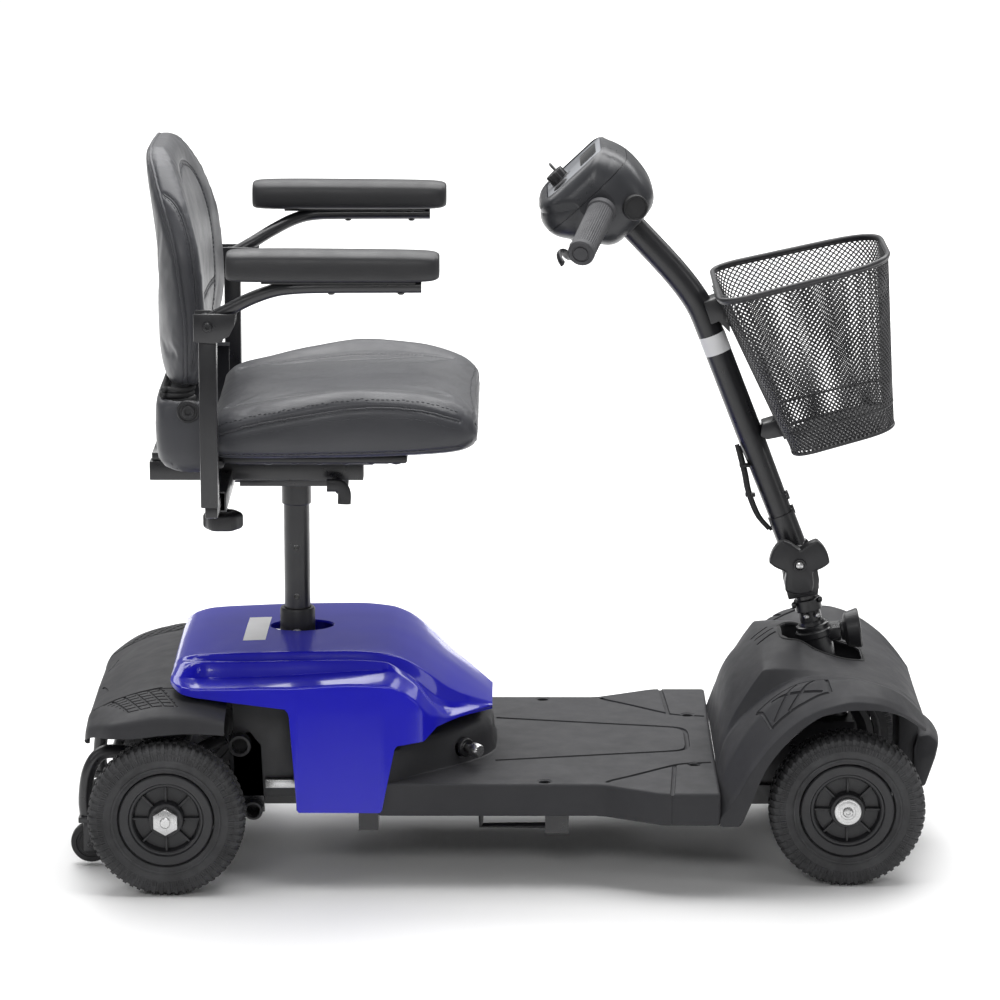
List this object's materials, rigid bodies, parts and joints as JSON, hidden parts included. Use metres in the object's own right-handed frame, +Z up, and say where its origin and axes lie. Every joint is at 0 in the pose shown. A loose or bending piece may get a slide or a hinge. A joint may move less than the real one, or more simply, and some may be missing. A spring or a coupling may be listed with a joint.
{
  "type": "mobility scooter",
  "caption": "Compact travel mobility scooter with a padded swivel seat, folding armrests, tilting tiller with control head, wire basket and anti-tip wheels.",
  "frame": {"origin": "on the floor under the middle of the scooter, halfway between the anti-tip wheels' rear and the bumper's front", "axes": "+X forward, +Y to the rider's left, +Z up"},
  "size_m": [1.13, 0.63, 0.931],
  "materials": {
    "body_plastic": "fine moulded grain, charcoal black",
    "shroud_blue": "high gloss royal blue",
    "frame_paint": "satin black powder coat",
    "tyre_black": "solid foam-filled tyre, knobby tread",
    "hub_plastic": "satin black moulded hub",
    "zinc_steel": "zinc plated",
    "cast_drive": "sand-cast gearbox",
    "rubber_black": "matt black rubber",
    "grip_rubber": "dark grey soft grip",
    "pad_black": "black integral-skin foam",
    "seat_vinyl": "dark grey upholstery vinyl",
    "panel_silver": "silver printed panel without marks",
    "battery_grey": "dark grey casing",
    "knob_black": "black moulded knob"
  },
  "bodies": {
    "chassis": {"main_frame": "frame_paint", "rear_frame": "frame_paint", "deck_panel": "body_plastic", "front_shroud": "body_plastic", "front_bumper": "body_plastic", "rear_cover": "body_plastic", "seat_socket": "frame_paint", "drive_motor": "frame_paint", "gearbox": "cast_drive", "controller_box": "battery_grey", "anti_tip_frame": "frame_paint", "battery_shroud": "shroud_blue", "battery_case": "battery_grey", "battery_cells": "battery_grey"},
    "rear_wheel_left": {"rear_tyre_left": "tyre_black", "rear_hub_left": "hub_plastic", "rear_axle_left": "zinc_steel"},
    "rear_wheel_right": {"rear_tyre_right": "tyre_black", "rear_hub_right": "hub_plastic", "rear_axle_right": "zinc_steel"},
    "knuckle_left": {"steering_knuckle_left": "zinc_steel"},
    "front_wheel_left": {"front_tyre_left": "tyre_black", "front_hub_left": "hub_plastic"},
    "knuckle_right": {"steering_knuckle_right": "zinc_steel"},
    "front_wheel_right": {"front_tyre_right": "tyre_black", "front_hub_right": "hub_plastic"},
    "tie_rod": {"tie_rod": "zinc_steel"},
    "anti_tip_wheel_left": {"anti_tip_wheel_left": "rubber_black"},
    "anti_tip_wheel_right": {"anti_tip_wheel_right": "rubber_black"},
    "release_plunger": {"release_plunger": "zinc_steel"},
    "steering_lock_knob": {"steering_lock_knob": "knob_black"},
    "steering": {"steering_column": "frame_paint"},
    "tilt_knob": {"tiller_tilt_knob": "knob_black"},
    "tiller": {"tiller_tube": "frame_paint", "tiller_cable": "rubber_black", "control_case": "body_plastic", "control_panel": "panel_silver", "handlebar": "frame_paint", "grip_left": "grip_rubber", "grip_right": "grip_rubber", "basket": "frame_paint", "basket_bracket": "frame_paint"},
    "speed_dial": {"speed_dial": "knob_black"},
    "ignition_key": {"ignition_key": "knob_black"},
    "throttle_lever": {"throttle_lever": "knob_black"},
    "seat_post": {"seat_post": "frame_paint"},
    "seat": {"seat_base": "frame_paint", "seat_pan": "body_plastic", "seat_cushion": "seat_vinyl"},
    "swivel_lever": {"swivel_lever": "knob_black"},
    "backrest": {"backrest_shell": "seat_vinyl", "backrest_cushion": "seat_vinyl"},
    "arm_knob_left": {"arm_knob_left": "knob_black"},
    "arm_left": {"arm_post_left": "frame_paint"},
    "armrest_left": {"arm_tube_left": "frame_paint", "arm_pad_left": "pad_black"},
    "arm_knob_right": {"arm_knob_right": "knob_black"},
    "arm_right": {"arm_post_right": "frame_paint"},
    "armrest_right": {"arm_tube_right": "frame_paint", "arm_pad_right": "pad_black"}
  },
  "joints": [
    {"name": "rear_wheel_left_spin", "type": "hinge", "parent": "chassis", "child": "rear_wheel_left", "pos_m": [-0.431, 0.225, 0.1], "axis": [0, 1, 0], "continuous": true},
    {"name": "rear_wheel_right_spin", "type": "hinge", "parent": "chassis", "child": "rear_wheel_right", "pos_m": [-0.431, -0.225, 0.1], "axis": [0, 1, 0], "continuous": true},
    {"name": "steering_turn", "type": "hinge", "parent": "chassis", "child": "steering", "pos_m": [0.397, 0, 0.293], "axis": [-0.2225, 0, 0.9749], "range_deg": [-35, 35]},
    {"name": "knuckle_left_turn", "type": "hinge", "parent": "chassis", "child": "knuckle_left", "pos_m": [0.432, 0.128, 0.1], "axis": [0, 0, 1], "range_deg": [-35, 35]},
    {"name": "front_wheel_left_spin", "type": "hinge", "parent": "knuckle_left", "child": "front_wheel_left", "pos_m": [0.432, 0.18, 0.1], "axis": [0, 1, 0], "continuous": true},
    {"name": "knuckle_right_turn", "type": "hinge", "parent": "chassis", "child": "knuckle_right", "pos_m": [0.432, -0.128, 0.1], "axis": [0, 0, 1], "range_deg": [-35, 35]},
    {"name": "front_wheel_right_spin", "type": "hinge", "parent": "knuckle_right", "child": "front_wheel_right", "pos_m": [0.432, -0.18, 0.1], "axis": [0, 1, 0], "continuous": true},
    {"name": "tie_rod_shift", "type": "slide", "parent": "chassis", "child": "tie_rod", "axis": [0, -1, 0], "range_m": [-0.034, 0.034]},
    {"name": "anti_tip_left_spin", "type": "hinge", "parent": "chassis", "child": "anti_tip_wheel_left", "pos_m": [-0.5385, 0.105, 0.0302], "axis": [0, 1, 0], "continuous": true},
    {"name": "anti_tip_right_spin", "type": "hinge", "parent": "chassis", "child": "anti_tip_wheel_right", "pos_m": [-0.5385, -0.105, 0.0302], "axis": [0, 1, 0], "continuous": true},
    {"name": "release_plunger_pull", "type": "slide", "parent": "chassis", "child": "release_plunger", "axis": [0.7071, -0.7071, 0], "range_m": [0, 0.01], "stiffness_N_per_m": 800},
    {"name": "steering_lock_turn", "type": "hinge", "parent": "chassis", "child": "steering_lock_knob", "pos_m": [0.4345, 0, 0.2862], "axis": [0.9882, 0, 0.1532], "range_deg": [0, 90]},
    {"name": "tiller_tilt", "type": "hinge", "parent": "steering", "child": "tiller", "pos_m": [0.376, 0, 0.385], "axis": [0, -1, 0], "range_deg": [-12, 20]},
    {"name": "tilt_knob_turn", "type": "hinge", "parent": "steering", "child": "tilt_knob", "pos_m": [0.376, 0, 0.385], "axis": [0, 1, 0], "range_deg": [0, 360]},
    {"name": "speed_dial_turn", "type": "hinge", "parent": "tiller", "child": "speed_dial", "pos_m": [0.06781, 0, 0.87724], "axis": [-0.6836, 0, 0.7298], "range_deg": [0, 270]},
    {"name": "ignition_key_turn", "type": "hinge", "parent": "tiller", "child": "ignition_key", "pos_m": [0.06781, 0.04, 0.87724], "axis": [-0.6836, 0, 0.7298], "range_deg": [0, 90]},
    {"name": "throttle_swing", "type": "hinge", "parent": "tiller", "child": "throttle_lever", "pos_m": [0.088, 0, 0.7965], "axis": [-0.6836, 0, 0.7298], "range_deg": [-10, 10], "stiffness_Nm_per_rad": 2},
    {"name": "seat_height", "type": "slide", "parent": "chassis", "child": "seat_post", "axis": [0, 0, -1], "range_m": [-0.075, 0]},
    {"name": "seat_swivel", "type": "hinge", "parent": "seat_post", "child": "seat", "pos_m": [-0.274, 0, 0.4855], "axis": [0, 0, 1], "range_deg": [-30, 30]},
    {"name": "swivel_lever_pull", "type": "hinge", "parent": "seat", "child": "swivel_lever", "pos_m": [-0.225, -0.02, 0.481], "axis": [1, 0, 0], "range_deg": [0, 15], "stiffness_Nm_per_rad": 1.5},
    {"name": "backrest_fold", "type": "hinge", "parent": "seat", "child": "backrest", "pos_m": [-0.396, 0, 0.619], "axis": [0, 1, 0], "range_deg": [0, 55]},
    {"name": "arm_knob_left_turn", "type": "hinge", "parent": "seat", "child": "arm_knob_left", "pos_m": [-0.357, 0.145, 0.452], "axis": [0, 0, 1], "range_deg": [0, 360]},
    {"name": "arm_left_width", "type": "slide", "parent": "seat", "child": "arm_left", "axis": [0, 1, 0], "range_m": [-0.02, 0.04]},
    {"name": "armrest_left_flip", "type": "hinge", "parent": "arm_left", "child": "armrest_left", "pos_m": [-0.372, 0.25, 0.738], "axis": [0, -1, 0], "range_deg": [0, 75]},
    {"name": "arm_knob_right_turn", "type": "hinge", "parent": "seat", "child": "arm_knob_right", "pos_m": [-0.357, -0.145, 0.452], "axis": [0, 0, 1], "range_deg": [0, 360]},
    {"name": "arm_right_width", "type": "slide", "parent": "seat", "child": "arm_right", "axis": [0, -1, 0], "range_m": [-0.02, 0.04]},
    {"name": "armrest_right_flip", "type": "hinge", "parent": "arm_right", "child": "armrest_right", "pos_m": [-0.372, -0.25, 0.738], "axis": [0, -1, 0], "range_deg": [0, 75]}
  ],
  "couplings": [
    {"joint": "knuckle_left_turn", "follows": "steering_turn", "ratio": 1},
    {"joint": "knuckle_right_turn", "follows": "steering_turn", "ratio": 1},
    {"joint": "tie_rod_shift", "follows": "steering_turn", "m_per_rad": 0.0545}
  ]
}
